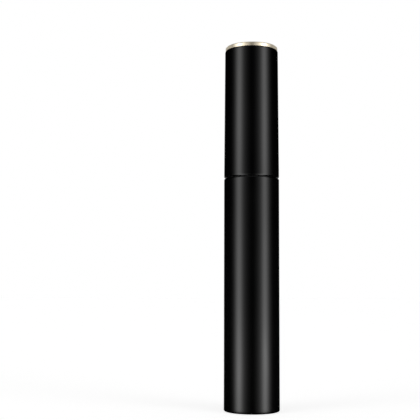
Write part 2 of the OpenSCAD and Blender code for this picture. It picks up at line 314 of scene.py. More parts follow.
def mottle(tree, shader, s, limits=noiseMost):
    # two shades in patches, and rubs that are more and less glossy
    colour = blend(tree, noise(tree, *s["patches"]), s["deep"], s["pale"])
    rough = remap(tree, noise(tree, *s["rubs"]), *limits, *s["gloss"])
    plugAll(tree, shader, {"Base Color": colour, "Roughness": rough})


def heightAbove(tree, low, high):
    z = addNode(tree, "ShaderNodeSeparateXYZ", {0: place(tree)}).outputs["Z"]
    return remap(tree, z, low * mm, high * mm, smooth=True)


def radiusOut(tree, low, high):
    flat = vectorCalc(tree, "MULTIPLY", place(tree), (1, 1, 0))
    return remap(tree, vectorCalc(tree, "LENGTH", flat, output=1), low * mm, high * mm, smooth=True)


# In each material a noise has its width, its detail and perhaps its stretch, a relief has its
# width, detail and depth, and gloss is the least and the most roughness.
lacquerSet = {
    "deep": (0.0003, 0.0003, 0.0004, 1.0),
    "pale": (0.0009, 0.0009, 0.001, 1.0),
    "patches": (9.0, 3.0),
    "rubs": (4.0, 4.0, (1, 1, 0.25)),
    "gloss": (0.14, 0.19),
    "peel": (1.6, 1.0, 0.0012),
    "dust": (0.05, 0.0, 0.0004),
    "ior": 1.5,
}


def makeLacquer():
    s = lacquerSet
    material, tree, shader = newMaterial("blackLacquer")
    mottle(tree, shader, s)
    grain = relief(tree, s["dust"], under=relief(tree, s["peel"]))
    plugAll(tree, shader, {"Normal": grain, "IOR": s["ior"]})
    return material


goldSet = {
    "deep": (0.90, 0.78, 0.57, 1.0),
    "pale": (0.94, 0.86, 0.70, 1.0),
    "patches": (3.0, 3.0),
    "rubs": (0.4, 3.0),
    "gloss": (0.3, 0.36),
    "groove": 0.05655,  # from one turning mark to the next
    "depth": 0.0012,
}
waveLength = math.pi / 10  # how far apart the rings of a wave texture are at scale 1


def makeGold():
    s = goldSet
    material, tree, shader = newMaterial("champagneGold")
    mottle(tree, shader, s)
    inputs = {"Vector": place(tree), "Scale": waveLength / (s["groove"] * mm), "Distortion": 0.0}
    rings = addNode(tree, "ShaderNodeTexWave", inputs, wave_type="RINGS", rings_direction="Z")
    grooves = bump(tree, rings.outputs["Fac"], s["depth"])
    plugAll(tree, shader, {"Metallic": 1.0, "Normal": grooves})
    return material


mouldedSet = {
    "deep": (0.006, 0.006, 0.007, 1.0),
    "pale": (0.014, 0.014, 0.015, 1.0),
    "patches": (2.0, 3.0),
    "rubs": (0.8, 3.0),
    "gloss": (0.3, 0.44),
    "grain": (0.12, 1.0, 0.006),  # the mould's texture
    "flow": (2.5, 2.0, 0.004),  # the slow waves of the moulding
}


def makeMoulded():
    s = mouldedSet
    material, tree, shader = newMaterial("mouldedBlack")
    mottle(tree, shader, s)
    grain = relief(tree, s["grain"], under=relief(tree, s["flow"]))
    plug(tree, grain, shader.inputs["Normal"])
    return material


bottleSet = {
    "clear": (0.42, 0.42, 0.40, 1.0),
    "milky": (0.55, 0.55, 0.53, 1.0),
    "smear": (0.012, 0.011, 0.011, 1.0),
    "cloud": (2.2, 3.0),
    "streaks": (0.9, 4.0, (1, 1, 0.45)),
    "gloss": (0.22, 0.38),
    "filledTo": (-2.4, 2.6),  # the mascara behind the wall darkens it up to here, from the seam
    "filledShare": 0.9,
    "lip": (-3.4, -0.4),  # smears near the mouth, from the neck's top
    "lipEdge": (0.48, 0.62),
    "lipShare": 0.75,
    "milk": 0.3,
    "milkReach": 1.2,
    "milkTint": (1.0, 0.95, 0.85),
    "waves": (1.2, 2.0, 0.01),
    "ior": 1.49,
}


def makeBottlePlastic():
    s = bottleSet
    material, tree, shader = newMaterial("naturalPlastic")
    cloud = blend(tree, noise(tree, *s["cloud"]), s["clear"], s["milky"])
    streaks = noise(tree, *s["streaks"])
    seam, mouth = span("tube_sleeve")[2], span("vial")[2]
    filled = inverted(tree, heightAbove(tree, *[seam + z for z in s["filledTo"]]))
    nearLip = heightAbove(tree, *[mouth + z for z in s["lip"]])
    lip = calc(tree, "MULTIPLY", nearLip, remap(tree, streaks, *s["lipEdge"]))
    filled = calc(tree, "MULTIPLY", filled, s["filledShare"])
    dirty = calc(tree, "MAXIMUM", filled, calc(tree, "MULTIPLY", lip, s["lipShare"]))
    plugAll(tree, shader, {
        "Base Color": blend(tree, dirty, cloud, s["smear"]),
        "Roughness": remap(tree, streaks, *noiseMost, *s["gloss"]),
        "Subsurface Weight": s["milk"],
        "Subsurface Radius": s["milkTint"],
        "Subsurface Scale": s["milkReach"] * mm,
        "IOR": s["ior"],
        "Normal": relief(tree, s["waves"]),
    })
    return material


rubberSet = {
    "clean": (0.66, 0.65, 0.62, 1.0),
    "stain": (0.012, 0.011, 0.011, 1.0),
    "stainedTo": (3.6, 5.2),  # the bore is stained out to here, at the flange
    "stainEdge": (0.35, 0.6),
    "blots": (0.7, 4.0),
    "gloss": (0.3, 0.5),
    "milk": 0.2,
    "milkReach": 0.8,
    "waves": (0.35, 2.0, 0.01),
}


def makeWiperRubber():
    s = rubberSet
    material, tree, shader = newMaterial("wiperRubber")
    blots = noise(tree, *s["blots"])
    inner = inverted(tree, radiusOut(tree, *s["stainedTo"]))
    dirt = calc(tree, "ADD", inner, calc(tree, "SUBTRACT", blots, noiseMiddle))
    dirty = remap(tree, dirt, *s["stainEdge"], smooth=True)
    plugAll(tree, shader, {
        "Base Color": blend(tree, dirty, s["clean"], s["stain"]),
        "Roughness": remap(tree, blots, *noiseMost, *s["gloss"]),
        "Subsurface Weight": s["milk"],
        "Subsurface Scale": s["milkReach"] * mm,
        "Normal": relief(tree, s["waves"]),
    })
    return material


foamSet = {
    "clean": (0.78, 0.78, 0.76, 1.0),
    "shade": (0.6, 0.6, 0.58, 1.0),
    "smudge": (0.02, 0.02, 0.02, 1.0),
    "cell": (0.14, 0.02),  # width and depth of one cell
    "gloss": (0.75, 0.95),
    "smudges": (1.1, 4.0),
    "smudgedTo": (3.2, 5.6),  # smudges thin out between these radii
    "smudgeEdge": (0.25, 0.5),
}


def makeFoam():
    s = foamSet
    material, tree, shader = newMaterial("washerFoam")
    cellWidth, cellDepth = s["cell"]
    inputs = {"Vector": place(tree), "Scale": 1 / (cellWidth * mm)}
    cells = addNode(tree, "ShaderNodeTexVoronoi", inputs).outputs["Distance"]
    body = blend(tree, cells, s["clean"], s["shade"])
    ring = inverted(tree, radiusOut(tree, *s["smudgedTo"]))
    smudged = calc(tree, "MULTIPLY", ring, noise(tree, *s["smudges"]))
    marks = remap(tree, smudged, *s["smudgeEdge"], smooth=True)
    plugAll(tree, shader, {
        "Base Color": blend(tree, marks, body, s["smudge"]),
        "Roughness": remap(tree, cells, 0, 1, *s["gloss"]),
        "Normal": bump(tree, cells, cellDepth),
    })
    return material


stemSet = {
    "deep": (0.006, 0.006, 0.007, 1.0),
    "pale": (0.012, 0.012, 0.013, 1.0),
    "film": (0.004, 0.004, 0.004, 1.0),
    "patches": (3.0, 2.0),
    "rubs": (1.5, 3.0),
    "gloss": (0.26, 0.36),
    "filmGloss": (0.3, 0.6),
    "filmUpTo": (36.0, 52.0),  # the wiped film of mascara thins out between these heights
    "filmEdge": (0.42, 0.58),
    "filmDepth": 0.05,
    "wet": (0.8, 4.0, (1, 1, 0.3)),
    "lines": (0.25, 1.0, 0.0015),
    "lineStretch": (1, 1, 0.05),
}


def makeStemPlastic():
    s = stemSet
    material, tree, shader = newMaterial("stemBlack")
    wet = noise(tree, *s["wet"])
    thin = inverted(tree, heightAbove(tree, *s["filmUpTo"]))
    film = calc(tree, "MULTIPLY", thin, remap(tree, wet, *s["filmEdge"], smooth=True))
    clean = blend(tree, noise(tree, *s["patches"]), s["deep"], s["pale"])
    dry = remap(tree, noise(tree, *s["rubs"]), *noiseMost, *s["gloss"])
    coated = remap(tree, wet, *noiseMost, *s["filmGloss"])
    mixed = addNode(tree, "ShaderNodeMix", {0: film, 2: dry, 3: coated}, data_type="FLOAT").outputs[0]
    lines = relief(tree, s["lines"], stretch=s["lineStretch"])
    filmHeight = calc(tree, "MULTIPLY", film, wet)
    plugAll(tree, shader, {
        "Base Color": blend(tree, film, clean, s["film"]),
        "Roughness": mixed,
        "Normal": bump(tree, filmHeight, s["filmDepth"], under=lines),
    })
    return material


coatSet = {
    "deep": (0.003, 0.003, 0.003, 1.0),
    "pale": (0.013, 0.012, 0.012, 1.0),
    "patches": (0.6, 4.0),
    "rubs": (0.5, 4.0),
    "rubLimits": (0.35, 0.65),
    "gloss": (0.3, 0.62),
    "lumps": (0.22, 3.0, 0.05),  # of mascara
}


def makeCoated(name):
    s = coatSet
    material, tree, shader = newMaterial(name)
    mottle(tree, shader, s, limits=s["rubLimits"])
    plug(tree, relief(tree, s["lumps"]), shader.inputs["Normal"])
    return material


def span(node):
    # outer radius, lowest and highest point of a round node, in millimetres
    low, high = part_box(node)
    return high.x / mm, low.z / mm, high.z / mm


def rounded(corners, closed, steps=6):
    # corners are (radius, height) or (radius, height, rounding); each rounding becomes an arc
    points = []
    for n, corner in enumerate(corners):
        here = Vector(corner[:2])
        rounding = corner[2] if len(corner) > 2 else 0
        if not rounding:
            points.append(here)
            continue
        back = (Vector(corners[n - 1][:2]) - here).normalized()
        onward = (Vector(corners[(n + 1) % len(corners)][:2]) - here).normalized()
        half = back.angle(onward) / 2
        centre = here + (back + onward).normalized() * rounding / math.sin(half)
        start = here + back * rounding / math.tan(half) - centre
        end = here + onward * rounding / math.tan(half) - centre
        turn = math.atan2(start.x * end.y - start.y * end.x, start.dot(end))
        for step in range(steps + 1):
            a = turn * step / steps
            c, s = math.cos(a), math.sin(a)
            points.append(centre + Vector((start.x * c - start.y * s, start.x * s + start.y * c)))
    return withSupports(points, closed)


def withSupports(points, closed, reach=0.15, longest=6.0):
    # keeps shading flat on long walls: a ring close to each end, and more along the way
    result = []
    last = len(points) if closed else len(points) - 1
    for n in range(last):
        here, there = points[n], points[(n + 1) % len(points)]
        length = (there - here).length
        result.append(here)
        if length > 4 * reach:
            result.append(here.lerp(there, reach / length))
            inner = int(length / longest)
            result += [here.lerp(there, (k + 1) / (inner + 1)) for k in range(inner)]
            result.append(here.lerp(there, 1 - reach / length))
    return result if closed else result + [points[-1]]


onAxis = 1e-6


def lathe(name, corners, closed, turns=224, steps=6):
    # closed: a ring's outline; open: an outline that starts and ends on the axis
    points = rounded(corners, closed, steps)
    mesh = bmesh.new()
    rings = []
    for point in points:
        if point.x < onAxis:
            rings.append([mesh.verts.new((0, 0, point.y * mm))])
            continue
        ring = []
        for k in range(turns):
            a = 2 * math.pi * k / turns
            spot = Vector((point.x * math.cos(a), point.x * math.sin(a), point.y)) * mm
            ring.append(mesh.verts.new(spot))
        rings.append(ring)
    pairs = list(zip(rings, rings[1:]))
    if closed:
        pairs.append((rings[-1], rings[0]))
    for one, two in pairs:
        for k in range(turns):
            j = (k + 1) % turns
            loop = [one[k % len(one)], one[j % len(one)], two[j % len(two)], two[k % len(two)]]
            loop = list(dict.fromkeys(loop))
            if len(loop) > 2:
                mesh.faces.new(loop)
    bmesh.ops.recalc_face_normals(mesh, faces=mesh.faces)
    return finishMesh(name, mesh)


def finishMesh(name, mesh):
    data = bpy.data.meshes.new(name)
    mesh.to_mesh(data)
    mesh.free()
    smooth(data)
    piece = bpy.data.objects.new(name, data)
    bpy.context.scene.collection.objects.link(piece)
    return piece


def smooth(data, angle=creaseAngle):
    data.shade_smooth()
    data.set_sharp_from_angle(angle=math.radians(angle))


def finishPiece(piece, material, node):
    piece.data.materials.clear()
    piece.data.materials.append(material)
    body = next(name for name, nodes in frame["record"]["behaviour"]["bodies"].items() if node in nodes)
    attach(piece, body)
    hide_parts(node)


def startTree(name, sizes):
    tree = bpy.data.node_groups.new(name, "GeometryNodeTree")
    tree.interface.new_socket(name="Geometry", in_out="INPUT", socket_type="NodeSocketGeometry")
    tree.interface.new_socket(name="Geometry", in_out="OUTPUT", socket_type="NodeSocketGeometry")
    for label, value in sizes.items():
        kind = "NodeSocketInt" if isinstance(value, int) else "NodeSocketFloat"
        tree.interface.new_socket(name=label, in_out="INPUT", socket_type=kind)
    return tree, addNode(tree, "NodeGroupInput").outputs


def endTree(tree, geometry, material):
    realised = addNode(tree, "GeometryNodeRealizeInstances", {0: geometry}).outputs[0]
    smoothed = addNode(tree, "GeometryNodeSetShadeSmooth", {0: realised}).outputs[0]
    inputs = {"Geometry": smoothed, "Material": material}
    finished = addNode(tree, "GeometryNodeSetMaterial", inputs).outputs[0]
    addNode(tree, "NodeGroupOutput", {0: finished})


storedNames = ("along", "row")


def growNodes(piece, tree, sizes, angle=creaseAngle):
    modifier = piece.modifiers.new(tree.name, "NODES")
    modifier.node_group = tree
    for item in tree.interface.items_tree:
        if item.in_out == "INPUT" and item.name in sizes:
            modifier[item.identifier] = sizes[item.name]
    graph = bpy.context.evaluated_depsgraph_get()
    grown = bpy.data.meshes.new_from_object(piece.evaluated_get(graph), depsgraph=graph)
    piece.modifiers.clear()
    piece.data = grown
    for name in storedNames:
        if name in grown.attributes:
            grown.attributes.remove(grown.attributes[name])
    smooth(grown, angle)


def polar(tree, angle, radius, z):
    x = calc(tree, "MULTIPLY", radius, calc(tree, "COSINE", angle))
    y = calc(tree, "MULTIPLY", radius, calc(tree, "SINE", angle))
    return combine(tree, x, y, z)


def pointsOf(tree, count):
    return addNode(tree, "GeometryNodeMeshLine", {"Count": count, "Offset": (0, 0, 0)}).outputs[0]


def aroundAxis(tree, shape, count):
    # count copies of a shape, evenly turned round the axis
    step = calc(tree, "DIVIDE", 2 * math.pi, count)
    turn = calc(tree, "MULTIPLY", addNode(tree, "GeometryNodeInputIndex").outputs[0], step)
    inputs = {"Points": pointsOf(tree, count), "Instance": shape, "Rotation": combine(tree, z=turn)}
    return addNode(tree, "GeometryNodeInstanceOnPoints", inputs).outputs[0]


sectorCuts = {"Vertices X": 8, "Vertices Y": 4, "Vertices Z": 12}


def sectorBlocks(tree, count, inner, outer, low, high, arc):
    # blocks round the axis, each one a slice of a ring
    block = addNode(tree, "GeometryNodeMeshCube", {"Size": (1, 1, 1), **sectorCuts}).outputs[0]
    position = addNode(tree, "GeometryNodeInputPosition").outputs[0]
    at = addNode(tree, "ShaderNodeSeparateXYZ", {0: position}).outputs
    angle = calc(tree, "MULTIPLY", at[0], calc(tree, "RADIANS", arc))
    radius = remap(tree, at[1], -0.5, 0.5, inner, outer)
    z = remap(tree, at[2], -0.5, 0.5, low, high)
    inputs = {"Geometry": block, "Position": polar(tree, angle, radius, z)}
    wedge = addNode(tree, "GeometryNodeSetPosition", inputs).outputs[0]
    return aroundAxis(tree, wedge, count)


def join(tree, *parts):
    node = addNode(tree, "GeometryNodeJoinGeometry")
    for part in parts:
        tree.links.new(part, node.inputs[0])
    return node.outputs[0]


sleeveSet = {
    "wall": 0.8,
    "baseRound": 0.45,
    "seamRound": 0.45,
}


def makeSleeve(lacquer):
    radius, low, high = span("tube_sleeve")
    bore = radius - sleeveSet["wall"]
    sleeve = lathe("tubeSleeve", [
        (radius, low, sleeveSet["baseRound"]),
        (radius, high, sleeveSet["seamRound"]),
        (bore, high, fine * 4),
        (bore, low, fine * 4),
    ], closed=True, steps=10)
    finishPiece(sleeve, lacquer, "tube_sleeve")


basePlugSet = {
    "chamfer": 0.15,
    "floor": 1.4,
    "rimWall": 0.55,
    "grooveAt": 7.0,  # radius of the groove under the base
    "grooveWidth": 0.35,
    "grooveDepth": 0.15,
    "padAt": 5.2,  # radius of the recessed pad inside the groove
    "padDepth": 0.2,
    "gate": (0.9, 0.54),  # radius of the moulding's gate mark, at its foot and its top
    "gateDepth": (0.1, 0.08),  # of its top under the base, at the edge and in the middle
}


def makeBasePlug(moulded):
    s = basePlugSet
    radius, low, high = span("base_plug")
    radius -= pressFit
    pad, groove = s["padAt"], s["grooveAt"]
    gateFoot, gateTop = s["gate"]
    gateEdge, gateMiddle = s["gateDepth"]
    plugPiece = lathe("basePlug", [
        (0, low + gateMiddle),
        (gateTop, low + gateEdge, soft),
        (gateFoot, low + s["padDepth"], soft),
        (pad, low + s["padDepth"], fine * 3),
        (pad + s["padDepth"], low, fine * 3),
        (groove - s["grooveWidth"], low, fine * 2),
        (groove, low + s["grooveDepth"], fine * 2),
        (groove + s["grooveWidth"], low, fine * 2),
        (radius - s["chamfer"], low, fine),
        (radius, low + s["chamfer"], fine),
        (radius, high, fine * 4),
        (radius - s["rimWall"], high, fine * 4),
        (radius - s["rimWall"], low + s["floor"], soft),
        (0, low + s["floor"]),
    ], closed=False, turns=160, steps=4)
    finishPiece(plugPiece, moulded, "base_plug")


vialSet = {
    "wall": 1.2,
    "floor": 1.2,
    "footRound": 0.7,
    "insideRound": 1.0,
    "shoulderRound": 0.3,
    "shoulder": 1.5,  # thickness of the shoulder
    "cone": 3.0,  # height of the slope inside, under the shoulder
    "neckWall": 1.1,
    "rootOut": 0.7,  # how far the neck's root stands out, inside the collar
    "mouthRound": 0.28,
    "boreRound": 0.3,
    "coneRound": 0.5,
}

threadSet = {
    "Starts": 2,
    "Lead": 7.2 * mm,
    "Arc": 140.0,
    "Lead In": 12.0,  # degrees before the lug
    "Depth": 0.7 * mm,
    "Root": 1.4 * mm,
    "Crest": 0.7 * mm,
    "Sink": 0.1 * mm,
    "Lift": 4.6 * mm,  # lowest end above the collar
    "Round": 0.12 * mm,
    "Fade": 0.1,  # share of a ridge over which it dies out
    "Thin End": 0.25,  # share of its section that is left there
}
threadSteps = 96
threadRoundSteps = 4


def threadTree(material, neck, collarTop):
    sizes = dict(threadSet)
    sizes["Neck"] = neck * mm
    sizes["Collar"] = collarTop * mm
    tree, size = startTree("neckThread", sizes)
    turns = calc(tree, "DIVIDE", size["Arc"], 360.0)
    climb = calc(tree, "MULTIPLY", size["Lead"], turns)
    line = calc(tree, "SUBTRACT", size["Neck"], size["Sink"])
    inputs = {"Resolution": threadSteps, "Rotations": turns, "Height": climb}
    inputs.update({"Start Radius": line, "End Radius": line})
    helix = addNode(tree, "GeometryNodeCurveSpiral", inputs).outputs[0]
    helix = addNode(tree, "GeometryNodeSetCurveNormal", {0: helix}, mode="Z_UP").outputs[0]
    along = addNode(tree, "GeometryNodeSplineParameter").outputs["Factor"]
    ends = calc(tree, "MINIMUM", along, inverted(tree, along))
    fade = remap(tree, ends, 0.0, size["Fade"], size["Thin End"], 1.0, smooth=True)
    height = calc(tree, "ADD", size["Depth"], size["Sink"])
    inputs = {"Bottom Width": size["Root"], "Top Width": size["Crest"], "Offset": 0.0, "Height": height}
    profile = addNode(tree, "GeometryNodeCurvePrimitiveQuadrilateral", inputs, mode="TRAPEZOID").outputs[0]
    # the profile's X axis points at the tube's axis, so outward is negative
    outward = combine(tree, calc(tree, "MULTIPLY", height, -0.5))
    inputs = {0: profile, "Translation": outward, "Rotation": (0, 0, math.pi / 2)}
    profile = addNode(tree, "GeometryNodeTransform", inputs).outputs[0]
    inputs = {"Curve": profile, "Count": threadRoundSteps, "Radius": size["Round"], "Limit Radius": True}
    profile = addNode(tree, "GeometryNodeFilletCurve", inputs, mode="POLY").outputs[0]
    inputs = {"Curve": helix, "Profile Curve": profile, "Scale": fade, "Fill Caps": True}
    ridge = addNode(tree, "GeometryNodeCurveToMesh", inputs).outputs[0]
    foot = calc(tree, "ADD", size["Collar"], size["Lift"])
    back = calc(tree, "RADIANS", calc(tree, "MULTIPLY", size["Lead In"], -1.0))
    inputs = {0: ridge, "Translation": combine(tree, z=foot), "Rotation": combine(tree, z=back)}
    ridge = addNode(tree, "GeometryNodeTransform", inputs).outputs[0]
    ridges = aroundAxis(tree, ridge, size["Starts"])
    endTree(tree, join(tree, size["Geometry"], ridges), material)
    return tree, sizes


def makeVial(plastic):
    s = vialSet
    radius, low, high = span("vial")
    collarLow, collarTop = span("shoulder_collar")[1:]
    neck = span("wiper")[0]
    root = neck + s["rootOut"]
    bore = neck - s["neckWall"]
    coneTop = collarLow - s["shoulder"]
    bottle = lathe("threadedBottle", [
        (0, low),
        (radius, low, s["footRound"]),
        (radius, collarLow, s["shoulderRound"]),
        (root, collarLow),
        (root, collarTop, full),
        (neck, collarTop, soft),
        (neck, high, s["mouthRound"]),
        (bore, high, full),
        (bore, coneTop, s["boreRound"]),
        (radius - s["wall"], coneTop - s["cone"], s["coneRound"]),
        (radius - s["wall"], low + s["floor"], s["insideRound"]),
        (0, low + s["floor"]),
    ], closed=False)
    tree, sizes = threadTree(plastic, neck, collarTop)
    growNodes(bottle, tree, sizes)
    finishPiece(bottle, plastic, "vial")


collarSet = {
    "bore": 6.35,  # radius, as the spigot's
    "spigot": 8.0,
    "chamfer": 0.3,
}


def makeCollar(moulded):
    s = collarSet
    radius, low, high = span("shoulder_collar")
    seam = span("tube_sleeve")[2]
    radius -= pressFit
    collar = lathe("shoulderCollar", [
        (s["bore"], low, sharp),
        (radius, low, soft),
        (radius, seam, sharp),
        (s["spigot"], seam, sharp),
        (s["spigot"], high - s["chamfer"], fine * 3),
        (s["spigot"] - s["chamfer"], high, fine * 3),
        (s["bore"], high, soft),
    ], closed=True)
    finishPiece(collar, moulded, "shoulder_collar")


wiperSet = {
    "wall": 0.7,
    "lipWall": 0.5,
    "orifice": 1.85,  # radius of the hole in the lip
    "tube": 6.0,  # how far the straight part goes down from the neck's top
    "edge": 0.14,
    "coneRound": 0.4,
}


def makeWiper(rubber):
    s = wiperSet
    radius, low, high = span("wiper")
    neckTop = span("vial")[2]
    fit = radius - vialSet["neckWall"]
    bore = fit - s["wall"]
    tubeLow = neckTop - s["tube"]
    wiper = lathe("wiperInsert", [
        (bore, high, s["edge"]),
        (radius, high, s["edge"]),
        (radius, neckTop, soft),
        (fit, neckTop, sharp),
        (fit, tubeLow, s["coneRound"]),
        (s["orifice"] + s["lipWall"], low, soft),
        (s["orifice"], low, soft),
        (bore, tubeLow, s["coneRound"]),
    ], closed=True, turns=160)
    finishPiece(wiper, rubber, "wiper")


washerSet = {
    "bore": 3.15,
    "edge": 0.12,
}


def makeWasher(foam):
    radius, low, high = span("seal_washer")
    bore, edge = washerSet["bore"], washerSet["edge"]
    washer = lathe("sealWasher", [
        (bore, low, edge), (radius, low, edge), (radius, high, edge), (bore, high, edge),
    ], closed=True, turns=160, steps=5)
    finishPiece(washer, foam, "seal_washer")


shellSet = {
    "wall": 1.0,
    "draft": 0.27,  # how much less the radius is at the far end
    "seamRound": 0.45,
    "rimRound": 0.4,
    "mouthChamfer": 0.3,
    "ledge": 0.7,  # how far the wall stands in above the inner cap
}


def makeShell(lacquer):
    s = shellSet
    radius, low, high = span("cap_shell")
    ledgeLow = span("seal_washer")[2] + innerCapSet["ceiling"]
    bore = radius - s["wall"]
    shell = lathe("capShell", [
        (radius, low, s["seamRound"]),
        (radius - s["draft"], high, s["rimRound"]),
        (bore - s["ledge"], high, sharp),
        (bore - s["ledge"], ledgeLow, soft),
        (bore, ledgeLow, soft),
        (bore, low + s["mouthChamfer"], fine * 3),
        (bore + s["mouthChamfer"], low, fine * 2),
    ], closed=True, steps=10)
    finishPiece(shell, lacquer, "cap_shell")


innerCapSet = {
    "wall": 0.8,
    "bore": 6.6,
    "ceiling": 1.2,  # thickness
    "bead": 5.95,  # radius of the bead that keeps the washer
    "beadFrom": 0.05,  # how far under the washer it begins, ends and has run out
    "beadTo": 0.3,
    "beadFoot": 0.5,
    "socket": 2.17,  # radius of the hole for the stem
    "socketWall": 1.3,
    "socketRoot": 0.4,
    "socketRound": 0.2,
    "flange": 8.15,  # radius
}

innerCapBlocks = {
    "Ribs": 8,
    "Rib Arc": 6.0,
    "Lugs": 2,
    "Lug Arc": 14.0,
    "Lug Inner": 5.8 * mm,
    "Lug Lift": 2.8 * mm,  # above the collar
    "Lug Height": 1.0 * mm,
}


def innerCapTree(material, radius, low, ceiling):
    sizes = dict(innerCapBlocks)
    sizes["Skirt Middle"] = (innerCapSet["bore"] + innerCapSet["wall"] / 2) * mm
    sizes["Rib Outer"] = radius * mm
    sizes["Low"] = low * mm
    sizes["High"] = (ceiling + innerCapSet["ceiling"] / 2) * mm
    sizes["Collar"] = span("shoulder_collar")[2] * mm
    tree, size = startTree("innerCapBlocks", sizes)
    ribs = sectorBlocks(tree, size["Ribs"], size["Skirt Middle"], size["Rib Outer"], size["Low"],
                        size["High"], size["Rib Arc"])
    lugLow = calc(tree, "ADD", size["Collar"], size["Lug Lift"])
    lugHigh = calc(tree, "ADD", lugLow, size["Lug Height"])
    lugs = sectorBlocks(tree, size["Lugs"], size["Lug Inner"], size["Skirt Middle"], lugLow, lugHigh,
                        size["Lug Arc"])
    endTree(tree, join(tree, size["Geometry"], ribs, lugs), material)
    return tree, sizes


def makeInnerCap(moulded):
    s = innerCapSet
    radius, low, high = span("inner_cap")
    seal, ceiling = span("seal_washer")[1:]
    outer = s["bore"] + s["wall"]
    ledge = ceiling + s["ceiling"]
    socketOuter = s["socket"] + s["socketWall"]
    cap = lathe("innerCap", [
        (s["bore"], low, fine * 6),
        (outer, low, fine * 6),
        (outer, ceiling, soft),
        (s["flange"], ceiling, soft),
        (s["flange"], ledge, soft),
        (socketOuter, ledge, s["socketRoot"]),
        (socketOuter, high, s["socketRound"]),
        (s["socket"], high, s["socketRound"]),
        (s["socket"], ceiling, soft),
        (s["bore"], ceiling, sharp),
        (s["bore"], seal, fine * 1.5),
        (s["bead"], seal - s["beadFrom"], soft),
        (s["bead"], seal - s["beadTo"], soft),
        (s["bore"], seal - s["beadFoot"], soft),
    ], closed=True, turns=160, steps=4)
    tree, sizes = innerCapTree(moulded, radius, low, ceiling)
    growNodes(cap, tree, sizes)
    finishPiece(cap, moulded, "inner_cap")


endPlugSet = {
    "skirt": 4.0,  # height
    "skirtWall": 0.8,
    "skirtRound": 0.3,
    "pocket": (3.05, 0.85),  # radius and depth of the plate's seat
}


def makeEndPlug(moulded):
    s = endPlugSet
    radius, low, high = span("end_plug")
    radius -= pressFit
    face = low + s["skirt"]
    pocketRadius, pocketDepth = s["pocket"]
    plugPiece = lathe("endPlug", [
        (0, high - pocketDepth),
        (pocketRadius, high - pocketDepth, sharp),
        (pocketRadius, high, sharp),
        (radius, high, soft),
        (radius, low, full),
        (radius - s["skirtWall"], low, full),
        (radius - s["skirtWall"], face, s["skirtRound"]),
        (0, face),
    ], closed=False, turns=128, steps=4)
    finishPiece(plugPiece, moulded, "end_plug")


plateSet = {
    "bevel": 0.25,
    "rim": 0.9,  # width of the flat rim
    "dish": 0.15,  # depth
    "boss": 3.0,  # radius of the boss in the end plug
    "thickness": 1.3,
}


def makePlate(gold):
    s = plateSet
    radius, low, high = span("end_plate")
    seat = high - s["thickness"]
    dishRadius = radius - s["bevel"] - s["rim"]
    plate = lathe("endPlate", [
        (0, low),
        (s["boss"], low, fine * 3),
        (s["boss"], seat),
        (radius, seat, fine * 2),
        (radius, high - s["bevel"], sharp),
        (radius - s["bevel"], high, sharp),
        (dishRadius, high, sharp),
        (dishRadius - s["dish"], high - s["dish"], fine * 4),
        (0, high - s["dish"]),
    ], closed=False, turns=256)
    finishPiece(plate, gold, "end_plate")
    lightPlate(plate)


wandSet = {
    "radius": 1.7,
    "endRadius": 1.55,
    "taper": 2.6,  # height of the tapered end
    "taperRound": 2.0,
    "endRound": 0.22,
    "collarDepth": 0.8,
    "collarRoot": 0.25,
    "head": 2.2,  # radius of what is pressed into the socket
    "headRound": 0.3,
    "hole": 1.0,  # radius of the hole for the brush's rod
}


def makeStem(plastic):
    s = wandSet
    collar, low, high = span("wand_stem")
    ceiling = span("seal_washer")[2]
    holeTop = span("brush_core")[2]
    stem = lathe("wandStem", [
        (0, holeTop),
        (s["hole"], holeTop, sharp),
        (s["hole"], low, sharp),
        (s["endRadius"], low, s["endRound"]),
        (s["radius"], low + s["taper"], s["taperRound"]),
        (s["radius"], ceiling - s["collarDepth"], s["collarRoot"]),
        (collar, ceiling - s["collarDepth"], fine * 6),
        (collar, ceiling, sharp),
        (s["head"], ceiling, sharp),
        (s["head"], high, s["headRound"]),
        (0, high),
    ], closed=False, turns=128)
    finishPiece(stem, plastic, "wand_stem")


coreSet = {
    "rod": 0.7,
    "blunt": (0.32, 0.02),  # radius and height of the tip's nose
    "eaves": (0.95, 0.84),  # where the tip's cone ends
    "back": (0.912, 1.35),  # where the tip's side ends
    "tipHeight": 1.4,
}


def makeCore(coat):
    s = coreSet
    shank, low, high = span("brush_core")
    stemLow = span("wand_stem")[1]
    nose, noseHigh = s["blunt"]
    eaves, eavesHigh = s["eaves"]
    back, backHigh = s["back"]
    core = lathe("brushCore", [
        (0, low),
        (nose, low + noseHigh, fine * 6),
        (eaves, low + eavesHigh, soft),
        (back, low + backHigh, fine * 6),
        (s["rod"], low + s["tipHeight"], fine * 3),
        (s["rod"], stemLow, sharp),
        (shank, stemLow, sharp),
        (shank, high, soft),
        (0, high),
    ], closed=False, turns=64, steps=5)
    finishPiece(core, coat, "brush_core")


brushSet = {
    "Rows": 17,
    "Row Bristles": 30,
    "Lobe Rows": 6,  # from one waist to the next
    "First Waist": 5,
    "Waist Cut": 1.15 * mm,
    "First Row": 6.7 * mm,
    "Last Row Gap": 0.9 * mm,
    "Root": 0.35 * mm,  # where a bristle starts, inside the coated core
    "Half Height": 0.4 * mm,  # of a coated bristle at its root, along the axis
    "Half Width": 0.2 * mm,
    "Shortest": 0.87,  # share of a row's radius that its shortest bristle reaches
    "Lean": 2.5,  # degrees
    "Droop": 0.65 * mm,  # how far the end rows bend back
    "Wander": 0.62 * mm,  # within which a tip moves up and down
    "Lumps": 0.2 * mm,
    "Strays": 14,
    "Seed": 11,
}

